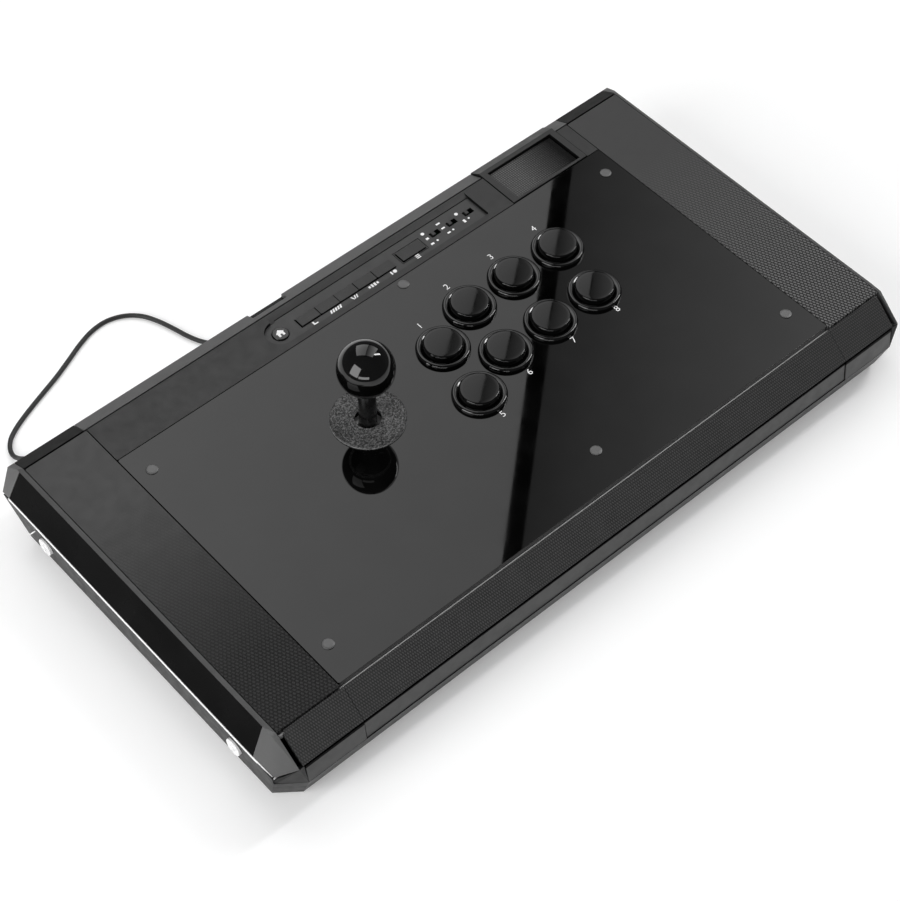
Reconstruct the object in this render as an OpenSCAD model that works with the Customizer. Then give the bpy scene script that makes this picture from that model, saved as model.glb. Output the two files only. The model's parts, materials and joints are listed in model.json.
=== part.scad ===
// Arcade joystick panel: a low case with a ball-top stick, eight push buttons, a row of
// small function keys, a touchpad and a thin lead. Millimetres, +Z up, standing on z = 0.
// The front faces -Y. Most modules draw in deck coordinates: the origin is the middle of
// the flat top face, and module deck() carries them to their place.

/* [Case] */
// Width of the flat top face
deck_w = 463.2; // [455:0.1:470]
// Depth of the flat top face
deck_d = 228.2; // [224:0.1:232]
// Height from the bottom edge of the case to the top face
case_h = 52; // [50:0.5:56]
// Height of the rubber feet below the case
foot_h = 4; // [3:0.5:6]
// Greatest half width of the case, at the light strips
side_x = 242.8; // [241:0.1:246]
// Wall thickness of the moulded shells
wall = 3; // [2.5:0.1:4]
// Gap between neighbouring panels
gap = 0.5; // [0.3:0.05:0.8]

/* [Control panel] */
// Width of each textured grip strip on the top face
strip_w = 42.9; // [40:0.1:45]
// Depth of the matt band behind the gloss panel
band_d = 29.4; // [28:0.1:32]
// Thickness of the clear cover sheet
cover_t = 2; // [1.5:0.1:2.5]
// Thickness of the steel control plate
plate_t = 2; // [1.5:0.1:2]
// Distance between neighbouring buttons in a row
button_pitch = 36; // [36:0.1:37]
// Radius of the hole for a 30 mm button
button_hole_r = 15.1; // [15.05:0.01:15.2]
// Travel of a play button
button_travel = 3; // [2:0.1:3]

/* [Stick] */
// Radius of the ball top
ball_r = 17; // [16.8:0.1:18]
// Height of the ball's centre above the top face
ball_z = 45; // [44:0.5:48]
// Tilt of the stick to each side, in degrees
stick_tilt = 8; // [6:0.5:8]

/* [Lead] */
// Diameter of the lead
lead_d = 3; // [2.8:0.1:3.2]
// Length of the straight runs in the tied hank
hank_run = 60; // [50:1:60]

/* [Hidden] */
$fn = 48;
tiny = 0.01;

// Outline of the case, in deck coordinates
deck_x = deck_w / 2;
deck_y = deck_d / 2;
front_y = -133.5;
rear_y = 126;
rim_x = deck_x + 3;
foot_x = side_x - 2.8;
slope_foot_y = -131.5;
slope_foot_z = -15;
band_foot_z = -31;
strip_z = -24.5;
strip_h = 2.2;
rear_edge_z = -5.4;
rear_knee_z = -26;
rear_foot_y = 109;
front_foot_y = -126;
corner_x = 227.7;
corner_y = -121.5;
floor_t = 2;
deck_shift_y = -(front_y + rear_y) / 2;
deck_z = case_h + foot_h;

// The top face is built up in layers
deck_t = 3;
skin_t = cover_t + plate_t;
field_x = deck_x - strip_w;
field_rear_y = deck_y - band_d;
field_front_y = -deck_y + 1.6;
opening_x = 178;
opening_front_y = -101;
opening_rear_y = 74;

// Play buttons: two staggered rows, the first button of each row set lower
second_x = 38.3;
second_y = 38.9;
first_dx = -33.2;
first_dy = -13.9;
row_dx = -7.2;
row_dy = -40.3;
function column(i) = i % 4;
function row(i) = floor(i / 4);
function button_x(i) = second_x + row(i) * row_dx
    + (column(i) == 0 ? first_dx : (column(i) - 1) * button_pitch);
function button_y(i) = second_y + row(i) * row_dy + (column(i) == 0 ? first_dy : 0);
rim_r = 16.6;
bore_r = 12.45;
plunger_r = 12.15;
plunger_z = 6.6;
barrel_r = 14.9;
barrel_h = 20;

// Stick
stick_x = -62.1;
stick_y = 13.9;
stick_hole_r = 12;
pivot_z = -10;
shaft_r = 4;
shaft_foot_z = -40;
sleeve_r = 5.25;
washer_r = 22.6;
washer_hole_r = 7.9;
mount_t = 2;
body_top_z = -skin_t - mount_t;

// Panel screws: three along the front and three behind
screw_head_r = 3.6;
screw_places = [[-177.6, 66.5], [177.6, 66.5], [-177, -89.7], [177, -89.7], [20.5, -89.6],
    [20.8, 79.3]];

// Function recess in the matt band
recess_z = -2;
home_x = -58.9;
home_y = 98.7;
recess_r = 9.6;
recess_end_x = 99;
recess_front_y = home_y - recess_r;
key_count = 5;
key_first_x = -45.7;
key_pitch = 14.7;
key_y0 = 94.4;
key_y1 = 101.6;
option_x0 = 33.9;
option_x1 = 51.7;
slider_x = [64, 77.6, 91.2];
slider_y = 99.9;

// Touchpad
pad_x0 = 121.6;
pad_x1 = 174;
pad_y0 = 87.6;
pad_y1 = 114.6;
pad_z = -2.2;
housing_x0 = 116.6;
housing_x1 = 179;
housing_y0 = field_rear_y + gap;

// Lead: it leaves the back near the left end, lies on the ground in a loose arc, and ends
// in a tied hank and a plug close behind the case
lead_r = lead_d / 2;
ground_z = -deck_z;
lead_z = ground_z + lead_r;
gland_x = -211;
gland_z = -40;
lead_route = [[-211, 142, -40], [-211.4, 148, -41.5], [-212.4, 154, -45.6], [-213.3, 160, -50.4],
    [-213.6, 166, -53.6], [-212, 172, lead_z], [-207.5, 178, lead_z], [-200, 183, lead_z],
    [-191, 187.3, lead_z], [-181, 191.4, lead_z], [-170, 195.6, lead_z], [-158, 200.2, lead_z],
    [-145, 206, lead_z], [-132, 212, lead_z], [-120, 216, lead_z], [-108, 216.6, lead_z],
    [-97, 212.5, lead_z], [-89, 205, lead_z], [-84, 195, lead_z], [-80.5, 184, lead_z],
    [-77.5, 173, lead_z], [-73.5, 163.5, lead_z], [-67, 155.5, lead_z], [-58, 150.6, lead_z],
    [-46, 149, lead_z]];
hank_x = -15;
hank_y = 134;
hank_turn_r = 15;
hank_layers = 4;
tail_route = [[-30, 151, -48.5], [-15, 152, -51.5], [0, 152.4, -54], [12, 152.2, lead_z],
    [24, 150.4, lead_z], [35, 145.6, lead_z], [44, 138.5, lead_z], [52, 131.5, lead_z],
    [60, 127, -53.4], [68, 125.3, -52]];
plug_y = 125.3;
plug_x = 66;
plug_z = -52;

module deck() {
    translate([0, deck_shift_y, deck_z]) children();
}

// A block from one corner to the opposite one
module block(a, b) {
    translate(a) cube(b - a);
}

// A disc or rod along Z
module rod(x, y, z0, z1, r) {
    translate([x, y, z0]) cylinder(h = z1 - z0, r = r);
}

// An outline in X and Y with rounded corners, made of true arcs
module rounded(a, b, r) {
    w = b.x - a.x;
    d = b.y - a.y;
    translate([a.x + r, a.y]) square([w - 2 * r, d]);
    translate([a.x, a.y + r]) square([w, d - 2 * r]);
    for (x = [a.x + r, b.x - r], y = [a.y + r, b.y - r]) translate([x, y]) circle(r = r);
}

module slab(z0, z1) {
    translate([0, 0, z0]) linear_extrude(z1 - z0) children();
}

// An outline given in Y and Z, extruded along X
module along_x(x0, x1) {
    translate([x0, 0, 0]) rotate([90, 0, 90]) linear_extrude(x1 - x0) children();
}

// An outline given in X and Z, extruded along Y
module along_y(y0, y1) {
    translate([0, y1, 0]) rotate([90, 0, 0]) linear_extrude(y1 - y0) children();
}

// Round tube swept along a list of points, as one closed solid
function unit(v) = v / norm(v);
function way(p, i) = unit(p[min(i + 1, len(p) - 1)] - p[max(i - 1, 0)]);
function side(t) = unit(cross(abs(t.z) > 0.9 ? [1, 0, 0] : [0, 0, 1], t));
function ring(c, t, r, n) = let (u = side(t), v = cross(t, u))
    [for (k = [0:n - 1]) c + r * (cos(360 * k / n) * u + sin(360 * k / n) * v)];
module swept(path, r, n = 8) {
    m = len(path);
    points = [for (i = [0:m - 1], q = ring(path[i], way(path, i), r, n)) q];
    sides = [for (i = [0:m - 2], k = [0:n - 1])
        [i * n + k, (i + 1) * n + k, (i + 1) * n + (k + 1) % n, i * n + (k + 1) % n]];
    start = [for (k = [0:n - 1]) k];
    end = [for (k = [n - 1:-1:0]) (m - 1) * n + k];
    polyhedron(points, concat(sides, [start], [end]));
}

// Everything inside the sloping chamfer of the left front corner, less the inset
corner_slope = 17;
corner_turn = atan2(front_y - corner_y, side_x - corner_x);
module corner_side(inset) {
    translate([-corner_x, front_y, band_foot_z]) rotate([0, 0, corner_turn])
        rotate([corner_slope, 0, 0]) translate([-700, inset, -500]) cube([1400, 1000, 1000]);
}

// Outer form of the lower case, shrunk by the inset on every side
module case_form(inset) {
    i = inset;
    intersection() {
        corner_side(i);
        mirror([1, 0, 0]) corner_side(i);
        slab(-case_h - 1, -8) polygon([
            [-side_x + i, rear_y - i], [-side_x + i, corner_y + i / 2],
            [-corner_x + i / 2, front_y + i], [corner_x - i / 2, front_y + i],
            [side_x - i, corner_y + i / 2], [side_x - i, rear_y - i]]);
        along_x(-side_x - 1, side_x + 1) polygon([
            [front_y + i, 0], [front_y + i, band_foot_z], [front_foot_y + i, -case_h],
            [front_foot_y + i, -case_h - 1], [rear_foot_y - i, -case_h - 1],
            [rear_foot_y - i, -case_h], [rear_y - i, rear_knee_z], [rear_y - i, 0]]);
        along_y(front_y - 1, rear_y + 1) polygon([
            [-side_x + i, 0], [-side_x + i, strip_z - strip_h / 2], [-foot_x + i, -case_h],
            [-foot_x + i, -case_h - 1], [foot_x - i, -case_h - 1], [foot_x - i, -case_h],
            [side_x - i, strip_z - strip_h / 2], [side_x - i, 0]]);
    }
}

boss_places = [for (x = [-200, -105, 105, 200], y = [-106, 96]) [x, y]];
boss_r = 4.5;
boss_hole_r = 1.4;
side_screw_y = 87.2;
side_screw_z = -37;
side_screw_r = 5.6;
side_band_top = strip_z - strip_h / 2;

// Each boss is tied to the nearest wall by a rib
boss_rib_t = 2;
module boss_ribs() {
    intersection() {
        case_form(wall / 2);
        for (p = boss_places) {
            wall_y = 140 * sign(p.y);
            rib_top = p.y > 0 ? side_band_top - 1 : band_foot_z - 1;
            block([p.x - boss_rib_t / 2, min(p.y, wall_y), -case_h + floor_t],
                [p.x + boss_rib_t / 2, max(p.y, wall_y), rib_top]);
        }
    }
}

module base_shell() {
    color("#343434") deck() {
        difference() {
            union() {
                difference() {
                    case_form(0);
                    case_form(wall);
                    // the cheeks, the front pieces and the top deck sit above these levels
                    block([-260, -140, side_band_top], [260, rear_y - wall - tiny, 1]);
                    block([-260, -140, band_foot_z], [260, corner_y, 1]);
                    block([-260, -140, side_band_top - 0.6], [260, -112, 1]);
                    block([-260, 90, side_band_top], [-deck_x - 0.4, 140, 1]);
                    block([deck_x + 0.4, 90, side_band_top], [260, 140, 1]);
                    block([-260, -140, -case_h - 2], [260, 140, -case_h]);
                }
                for (p = boss_places) rod(p.x, p.y, -case_h + floor_t, -skin_t - deck_t, boss_r);
                boss_ribs();
            }
            for (p = boss_places) rod(p.x, p.y, -case_h + floor_t - 1, -case_h + 16, boss_hole_r);
            for (s = [-1, 1], y = [-side_screw_y, side_screw_y])
                translate([s * (side_x - 8), y, side_screw_z]) rotate([0, s * 90, 0]) {
                    cylinder(h = 12, r = 2.1);
                    translate([0, 0, 6]) cylinder(h = 6, r = side_screw_r + 0.2);
                }
            for (s = [0, 1]) mirror([s, 0, 0]) {
                corner_cap_left();
                light_strip_left();
            }
            translate([gland_x, 100, gland_z]) rotate([-90, 0, 0]) cylinder(h = 30, r = 4.2);
        }
    }
}

module bottom_plate() {
    color("#222222") deck() {
        difference() {
            slab(-case_h, -case_h + floor_t) polygon([
                [-foot_x + wall + gap, rear_foot_y - wall - gap],
                [-foot_x + wall + gap, corner_y + 8], [-corner_x + 2.4, front_foot_y + wall + gap],
                [corner_x - 2.4, front_foot_y + wall + gap], [foot_x - wall - gap, corner_y + 8],
                [foot_x - wall - gap, rear_foot_y - wall - gap]]);
            for (p = boss_places) rod(p.x, p.y, -case_h - 1, -case_h + floor_t + 1, 1.7);
        }
    }
}

module bottom_screws() {
    color("#8c8c8c") deck() {
        for (p = boss_places) {
            rod(p.x, p.y, -case_h - 1.6, -case_h, 3.2);
            rod(p.x, p.y, -case_h - tiny, -case_h + 9, 1.35);
        }
    }
}

foot_places = [for (x = [-222, 0, 222], y = [-104, 92]) [x, y]];

module rubber_feet() {
    color("#151515") deck() {
        for (p = foot_places) rod(p.x, p.y, ground_z, -case_h, 9);
    }
}

// Left cheek: a moulded rail with a sloping outer face and a chamfered front end.
// The right one is its mirror image.
cheek_front_y = -114;
cheek_knee_y = -106;
panel_rear_top_y = 115.5;
panel_rear_foot_y = 119.5;
face_top = [-rim_x, -1.2];
face_foot = [-side_x, strip_z + strip_h / 2 + 0.6];
panel_depth = 1;

// A sheet parallel to the sloping side face, between two distances from it; y0 and y1 are
// its ends at the top, y0 and y2 at the foot
module side_sheet(y0, y1, y2, low, high) {
    slope = unit([face_foot.x - face_top.x, 0, face_foot.y - face_top.y]);
    outward = cross([0, 1, 0], slope);
    corners = [[face_top.x, y0, face_top.y], [face_top.x, y1, face_top.y],
        [face_foot.x, y2, face_foot.y], [face_foot.x, y0, face_foot.y]];
    polyhedron([for (d = [high, low], p = corners) p + d * outward],
        [[3, 2, 1, 0], [4, 5, 6, 7], [1, 5, 4, 0], [2, 6, 5, 1], [3, 7, 6, 2], [0, 4, 7, 3]]);
}

module cheek_left() {
    difference() {
        union() {
            along_y(cheek_knee_y, rear_y) polygon([
                [-deck_x - 0.4, -0.2], face_top, face_foot, [-side_x, side_band_top + strip_h],
                [-side_x + 6, side_band_top + strip_h], [-side_x + 6, -18],
                [-deck_x - 1, -9], [-deck_x - 0.4, -7]]);
            // front end
            hull() {
                for (p = [[-deck_x - 0.4, cheek_knee_y, -0.2], [-rim_x, cheek_knee_y, -1.2],
                    [face_foot.x, cheek_knee_y, face_foot.y], [-side_x + 6, cheek_knee_y, -21],
                    [-deck_x - 0.4, cheek_front_y, -0.2], [-deck_x - 3, cheek_front_y, -1.7],
                    [-241.5, corner_y, -26], [-232.2, -132.6, -14], [-231.9, -131, -14.6],
                    [-236, corner_y, -26]])
                    translate(p) cube(tiny, center = true);
            }
        }
        // recess that takes the gloss side panel
        side_sheet(cheek_knee_y + 0.2, panel_rear_top_y, panel_rear_foot_y, -panel_depth, 0.6);
        // the rear bevel cuts the rail's end
        rear_bevel_cut();
    }
}

module rear_bevel_cut() {
    along_x(-260, 260) polygon([[deck_y + 1.4, 0.5], [deck_y + 1.4, 0], [rear_y, rear_edge_z],
        [rear_y + 3, rear_edge_z], [rear_y + 3, 0.5]]);
}

module left_cheek() {
    color("#5a5a5a") deck() cheek_left();
}

module right_cheek() {
    color("#5a5a5a") deck() mirror([1, 0, 0]) cheek_left();
}

module side_panel_left() {
    side_sheet(cheek_knee_y + 0.6, panel_rear_top_y - 0.4, panel_rear_foot_y - 0.4,
        -panel_depth, -0.15);
}

module left_side_panel() {
    color("#161616") deck() side_panel_left();
}

module right_side_panel() {
    color("#161616") deck() mirror([1, 0, 0]) side_panel_left();
}

// A thin lit strip along the foot of each cheek, following its knee at the front
module light_strip_left() {
    z0 = strip_z - strip_h / 2;
    z1 = strip_z + strip_h / 2;
    block([-side_x - 0.2, cheek_knee_y, z0], [-side_x + 5.5, panel_rear_foot_y + 1, z1]);
    hull() {
        for (z = [z0, z1]) {
            translate([-side_x - 0.2, cheek_knee_y, z]) cube(tiny);
            translate([-side_x + 5.5, cheek_knee_y, z]) cube(tiny);
        }
        for (z = [-28.2, -26.4]) {
            translate([-241.7, corner_y, z]) cube(tiny);
            translate([-236, corner_y, z]) cube(tiny);
        }
    }
}

module light_strips() {
    color("#f2f2f2") deck() {
        light_strip_left();
        mirror([1, 0, 0]) light_strip_left();
    }
}

module side_screws() {
    color("#e6e6e6") deck() {
        for (s = [-1, 1], y = [-side_screw_y, side_screw_y])
            translate([s * (side_x - 2), y, side_screw_z]) rotate([0, s * 90, 0]) {
                difference() {
                    cylinder(h = 2.6, r = side_screw_r);
                    translate([0, 0, 1.2]) cylinder(h = 2, r = 2.3, $fn = 6);
                }
                translate([0, 0, -5]) cylinder(h = 5 + tiny, r = 2);
            }
    }
}

// Dark faceted block that closes each lower front corner
module corner_cap_left() {
    hull() {
        for (p = [[-241.5, corner_y, -28.6], [-232.2, -132.6, -14.4], [-228.6, -131.6, -15.4],
            [-corner_x, front_y, band_foot_z], [-242, corner_y, -33], [-corner_x, -129, -17],
            [-corner_x, -128.4, band_foot_z], [-238, corner_y, -29], [-238, corner_y, -31]])
            translate(p) cube(tiny, center = true);
    }
}

module corner_caps() {
    color("#2c2c2c") deck() {
        corner_cap_left();
        mirror([1, 0, 0]) corner_cap_left();
    }
}

seam_x = 187.5;
slope_top_y = -deck_y - 1;
slope_top_z = -0.4;

module slope_outline(inset = 0) {
    polygon([[slope_top_y - inset, slope_top_z - inset * 0.5], [slope_foot_y, slope_foot_z],
        [slope_foot_y + 4, slope_foot_z], [slope_top_y, slope_top_z - 4.2]]);
}

// Sloping palm rest along the front, in three lengths
module wrist_rest() {
    end_x = 229;
    color("#303030") deck() {
        along_x(-seam_x + 0.15, seam_x - 0.15) slope_outline();
        for (s = [0, 1]) mirror([s, 0, 0]) {
            along_x(seam_x + 0.15, end_x - 1) slope_outline();
            along_x(end_x - 1, end_x) slope_outline(0.8);
        }
    }
}

module band_outline(back = 0, top = 0) {
    y = front_y + back;
    polygon([[y + 1.7, slope_foot_z - 1.2 - top], [y, band_foot_z], [y + wall, band_foot_z],
        [y + wall + 1.7, slope_foot_z - 1.2 - top]]);
}

// Upright band below the palm rest; its middle length stands back a little
module front_band() {
    color("#3c3c3c") deck() {
        along_x(-seam_x + 0.2, seam_x - 0.2) band_outline(0.5, 0.8);
        for (s = [0, 1]) mirror([s, 0, 0]) along_x(seam_x + 0.2, corner_x) band_outline();
    }
}

// Structural plate under the whole top face
module top_deck() {
    z0 = -skin_t - deck_t;
    color("#1c1c1c") deck() {
        difference() {
            slab(z0, -skin_t) rounded([-deck_x, slope_top_y], [deck_x, deck_y + 1.3], 2);
            slab(z0 - 1, 0) rounded([-opening_x, opening_front_y], [opening_x, opening_rear_y], 6);
            slab(z0 - 1, 0) rounded([home_x - 6.5, 91], [recess_end_x - 1.5, 108], 3);
            // the plate's front screws pass through
            for (p = screw_places) rod(p.x, p.y, z0 - 1, 0, 1.6);
        }
        // lip behind the palm rest
        along_x(-227, 227) polygon([[slope_top_y, -skin_t - 0.8], [-127.6, -15.5], [-127.6, -18],
            [-125.6, -18], [slope_top_y + 3, z0 - 1], [slope_top_y + 3, -skin_t - 0.8]]);
        // rear bevel at both ends
        for (s = [0, 1]) mirror([s, 0, 0]) along_x(190.3, deck_x) bevel_outline();
        // posts for the key board
        for (x = [-50, 88], y = [88.5, 110.8]) rod(x, y, board_z + 1.6, z0, 2);
    }
}

module bevel_outline() {
    polygon([[deck_y + 1.3, -0.4], [rear_y, rear_edge_z], [rear_y, -8], [rear_y - 4, -8],
        [deck_y + 1.3, -6]]);
}

notch_x0 = -63;
notch_x1 = -37;
notch_y = 119.8;

// Bevelled rail along the rear edge, with a notch, broken by the touchpad housing
module rear_rail() {
    color("#707070") deck() {
        difference() {
            along_x(-190, housing_x0 - 0.4) bevel_outline();
            block([notch_x0, notch_y, -12], [notch_x1, rear_y + 1, 1]);
        }
        along_x(housing_x1 + 0.4, 190) bevel_outline();
    }
}

module grip_strip(x0, x1) {
    slab(-skin_t, 0) rounded([x0, -deck_y], [x1, deck_y], 0.8);
}

module grip_strips() {
    color("#3a3a3a") deck() {
        grip_strip(-deck_x, -field_x - gap / 2);
        grip_strip(field_x + gap / 2, deck_x);
    }
}

module recess_outline(grow = 0) {
    translate([home_x, home_y]) circle(r = recess_r + grow);
    translate([home_x, recess_front_y - grow]) square([20, recess_r * 2 + 2 * grow]);
    rounded([home_x + 3, recess_front_y - grow],
        [recess_end_x + grow, home_y + recess_r + 1 + grow], 1);
}

// Matt band behind the gloss panel, with the sunken bay of the function keys
module rear_band() {
    color("#3a3a3a") deck() {
        difference() {
            slab(-skin_t, 0) rounded([-field_x + gap / 2, field_rear_y + gap / 2],
                [field_x - gap / 2, deck_y], 0.6);
            slab(-skin_t - 1, 1) recess_outline();
            // the bay's rear wall slopes up to the band
            along_x(home_x, recess_end_x) polygon([[home_y + recess_r, recess_z],
                [deck_y - 1, 0.1], [home_y + recess_r - 2, 0.1], [home_y + recess_r - 2, recess_z]]);
            block([housing_x0 - gap, 80, -5], [housing_x1 + gap, 120, 1]);
        }
    }
}

// Sunken plate with a window for each key and a slot for each slider
module function_panel() {
    color("#484848") deck() {
        difference() {
            slab(-skin_t, recess_z) recess_outline(-0.15);
            rod(home_x, home_y, -5, 1, 5.4);
            block([key_first_x - 0.3, key_y0 - 0.3, -5],
                [key_first_x + key_count * key_pitch + 0.1, key_y1 + 0.3, 1]);
            block([option_x0 - 0.4, key_y0 - 0.4, -5], [option_x1 + 0.4, key_y1 + 1.2, 1]);
            for (x = slider_x) block([x - 3.6, slider_y - 1.9, -5], [x + 3.6, slider_y + 1.9, 1]);
            // shallow frame around the options button
            difference() {
                block([option_x0 - 1.6, key_y0 - 1.4, recess_z - 0.4],
                    [option_x1 + 1.6, key_y1 + 2.2, 1]);
                block([option_x0 - 1.1, key_y0 - 0.9, -6], [option_x1 + 1.1, key_y1 + 1.7, 2]);
            }
        }
    }
}

module panel_holes(z0, z1) {
    for (i = [0:7]) rod(button_x(i), button_y(i), z0, z1, button_hole_r);
    rod(stick_x, stick_y, z0, z1, stick_hole_r);
    for (p = screw_places) rod(p.x, p.y, z0, z1, 1.75);
}

module field_outline() {
    rounded([-field_x + gap / 2, field_front_y], [field_x - gap / 2, field_rear_y - gap / 2], 1.2);
}

module control_plate() {
    color("#9a9a9a") deck() {
        difference() {
            slab(-skin_t, -cover_t) field_outline();
            panel_holes(-skin_t - 1, 0);
        }
    }
}

module acrylic_cover() {
    color("#2e2e2e") deck() {
        difference() {
            slab(-cover_t, 0) field_outline();
            panel_holes(-skin_t - 1, 1);
        }
    }
}

module panel_screws() {
    color("#8e8e8e") deck() {
        for (p = screw_places) {
            rod(p.x, p.y, 0, 0.6, screw_head_r);
            rod(p.x, p.y, -9.5, tiny, 1.55);
        }
    }
}

// Touchpad housing: a frame that stands a little proud and runs over the rear bevel
housing_top = 0.5;

module touchpad_housing() {
    color("#2e2e2e") deck() {
        difference() {
            along_x(housing_x0, housing_x1) polygon([[housing_y0, -skin_t],
                [housing_y0, housing_top - 0.5], [housing_y0 + 0.5, housing_top],
                [deck_y + 4, housing_top], [rear_y, rear_edge_z + 0.8], [rear_y, -8],
                [rear_y - 4, -8], [deck_y + 1.4, -6], [deck_y + 1.4, -skin_t]]);
            block([pad_x0 - 0.4, pad_y0 - 0.4, pad_z - 1.4], [pad_x1 + 0.4, pad_y1 + 0.4, 2]);
        }
    }
}

module touchpad() {
    color("#565656") deck() {
        slab(pad_z - 0.8, pad_z + 0.8) rounded([pad_x0, pad_y0], [pad_x1, pad_y1], 0.8);
    }
}

// Push button housings: a rounded rim on a barrel that goes down through the plate
module button_housings() {
    color("#0c0c0c") deck() {
        for (i = [0:7]) translate([button_x(i), button_y(i), 0])
            rotate_extrude($fn = 96) polygon([[bore_r, 2 - barrel_h], [bore_r, 1.5],
                [bore_r + 0.5, 2.2], [bore_r + 1.2, 2.7], [bore_r + 2, 2.9], [rim_r - 1.3, 2.6],
                [rim_r - 0.5, 1.8], [rim_r, 0.8], [rim_r, 0], [barrel_r, 0], [barrel_r, -barrel_h],
                [3.4, -barrel_h], [3.4, 2 - barrel_h]]);
    }
}

module play_button(i) {
    color("#101010") deck() translate([button_x(i), button_y(i), 0])
        rotate_extrude($fn = 96) polygon([[0, button_travel + 0.1 - barrel_h],
            [3, button_travel + 0.1 - barrel_h], [3, 8 - barrel_h], [plunger_r, 8 - barrel_h], [plunger_r, plunger_z - 1.6],
            [plunger_r - 0.3, plunger_z - 0.7], [plunger_r - 1, plunger_z - 0.1],
            [plunger_r - 2.2, plunger_z + 0.15], [6, plunger_z + 0.3], [0, plunger_z + 0.4]]);
}

module play_button_1() { play_button(0); }
module play_button_2() { play_button(1); }
module play_button_3() { play_button(2); }
module play_button_4() { play_button(3); }
module play_button_5() { play_button(4); }
module play_button_6() { play_button(5); }
module play_button_7() { play_button(6); }
module play_button_8() { play_button(7); }

// Snap switch with two blade terminals
module snap_switch() {
    block([-6.4, -3.1, -10], [6.4, 3.1, 0]);
    for (x = [-4, 4]) block([x - 0.4, -1.6, -15], [x + 0.4, 1.6, -10 + tiny]);
}

switch_gap = 9.4;

module microswitches() {
    color("#1d1d1d") deck() {
        for (i = [0:7]) translate([button_x(i), button_y(i), -barrel_h]) snap_switch();
        for (a = [0:90:270]) translate([stick_x, stick_y, 0]) rotate([0, 0, a])
            block([switch_gap, -6.4, -36], [switch_gap + 6, 6.4, stick_board_z - 1.6]);
    }
}

// Stick: plate, body, tilting ring, shaft, spring, actuator and gate
body_w = 56;
body_d = 50;
body_foot_z = -38;
ring_r = 10;
ring_hole_r = 6.5;
ring_half = 3;
pin_r = 1.5;
pin_play = 0.05;
stick_board_z = -25;

module at_stick() {
    deck() translate([stick_x, stick_y, 0]) children();
}

module stick_mount_plate() {
    color("#b0b0b0") at_stick() {
        difference() {
            slab(body_top_z, -skin_t) rounded([-44, -26.5], [44, 26.5], 4);
            rod(0, 0, body_top_z - 1, 0, stick_hole_r);
            for (x = [-38, 38], y = [-19, 19]) rod(x, y, body_top_z - 1, 0, 2.2);
        }
    }
}

module stick_body() {
    color("#262626") at_stick() {
        difference() {
            slab(body_foot_z, body_top_z) rounded([-body_w / 2, -body_d / 2],
                [body_w / 2, body_d / 2], 3);
            rod(0, 0, -16, 0, ring_r + 1.6);
            rod(0, 0, -20, 0, 6.3);
            slab(body_foot_z - 1, -17) rounded([-22, -22], [22, 22], 2);
            translate([-15, 0, pivot_z]) rotate([0, 90, 0]) cylinder(h = 30, r = pin_r + pin_play);
        }
    }
}

module pivot_ring() {
    color("#d8d8d8") at_stick() translate([0, 0, pivot_z]) {
        difference() {
            union() {
                rod(0, 0, -ring_half, ring_half, ring_r);
                for (s = [0, 180]) rotate([0, 0, s]) translate([ring_r - 1, 0, 0])
                    rotate([0, 90, 0]) cylinder(h = 5.5, r = pin_r);
            }
            rod(0, 0, -ring_half - 1, ring_half + 1, ring_hole_r);
            translate([0, ring_r + 1, 0]) rotate([90, 0, 0])
                cylinder(h = 2 * ring_r + 2, r = pin_r + pin_play);
        }
    }
}

module stick_shaft() {
    shoulder_z = ball_z - 16.8;
    color("#c4c4c4") at_stick() {
        rod(0, 0, shaft_foot_z, shoulder_z, shaft_r);
        rod(0, 0, shoulder_z - tiny, ball_z - 5, 3);
        rod(0, 0, pivot_z - ring_half, pivot_z + ring_half, 5.3);
        translate([0, 9.5, pivot_z]) rotate([90, 0, 0]) cylinder(h = 19, r = pin_r);
    }
}

module shaft_sleeve() {
    color("#141414") at_stick() {
        difference() {
            rod(0, 0, -5, ball_z - 16.75, sleeve_r);
            rod(0, 0, -6, ball_z, shaft_r + 0.03);
        }
    }
}

module ball_top() {
    color("#0a0a0a") at_stick() {
        difference() {
            translate([0, 0, ball_z]) sphere(r = ball_r, $fn = 96);
            rod(0, 0, ball_z - ball_r - 1, ball_z - 16.7, 8);
            rod(0, 0, ball_z - ball_r - 1, ball_z - 5, 3.02);
        }
    }
}

module dust_washer() {
    color("#4c4c4c") at_stick() rotate_extrude($fn = 96) polygon([[washer_hole_r, 0],
        [washer_hole_r, 1.3], [washer_hole_r + 0.4, 1.8], [washer_hole_r + 1, 1.3],
        [washer_r - 1, 1.2], [washer_r - 0.4, 1.5], [washer_r, 1], [washer_r, 0]]);
}

spring_r = 5.5;
spring_wire = 0.6;
spring_turns = 3.5;
actuator_top_z = -26;
spring_top_z = -19;

module return_spring() {
    steps = 20;
    rise = spring_top_z - actuator_top_z - 2 * spring_wire;
    color("#aaaaaa") at_stick() swept([for (i = [0:spring_turns * steps])
        [spring_r * cos(360 * i / steps), spring_r * sin(360 * i / steps),
            actuator_top_z + spring_wire + rise * i / (spring_turns * steps)]], spring_wire);
}

module stick_actuator() {
    color("#e0e0e0") at_stick() {
        difference() {
            union() {
                rod(0, 0, -34, actuator_top_z, 5.5);
                rod(0, 0, actuator_top_z - 1, actuator_top_z, 6.4);
            }
            rod(0, 0, -35, 0, shaft_r + 0.03);
        }
    }
}

module stick_board() {
    color("#2b5d3a") at_stick() {
        difference() {
            slab(stick_board_z - 1.6, stick_board_z) rounded([-21.5, -21.5], [21.5, 21.5], 2);
            rod(0, 0, stick_board_z - 2, stick_board_z + 1, 13);
        }
    }
}

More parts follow.
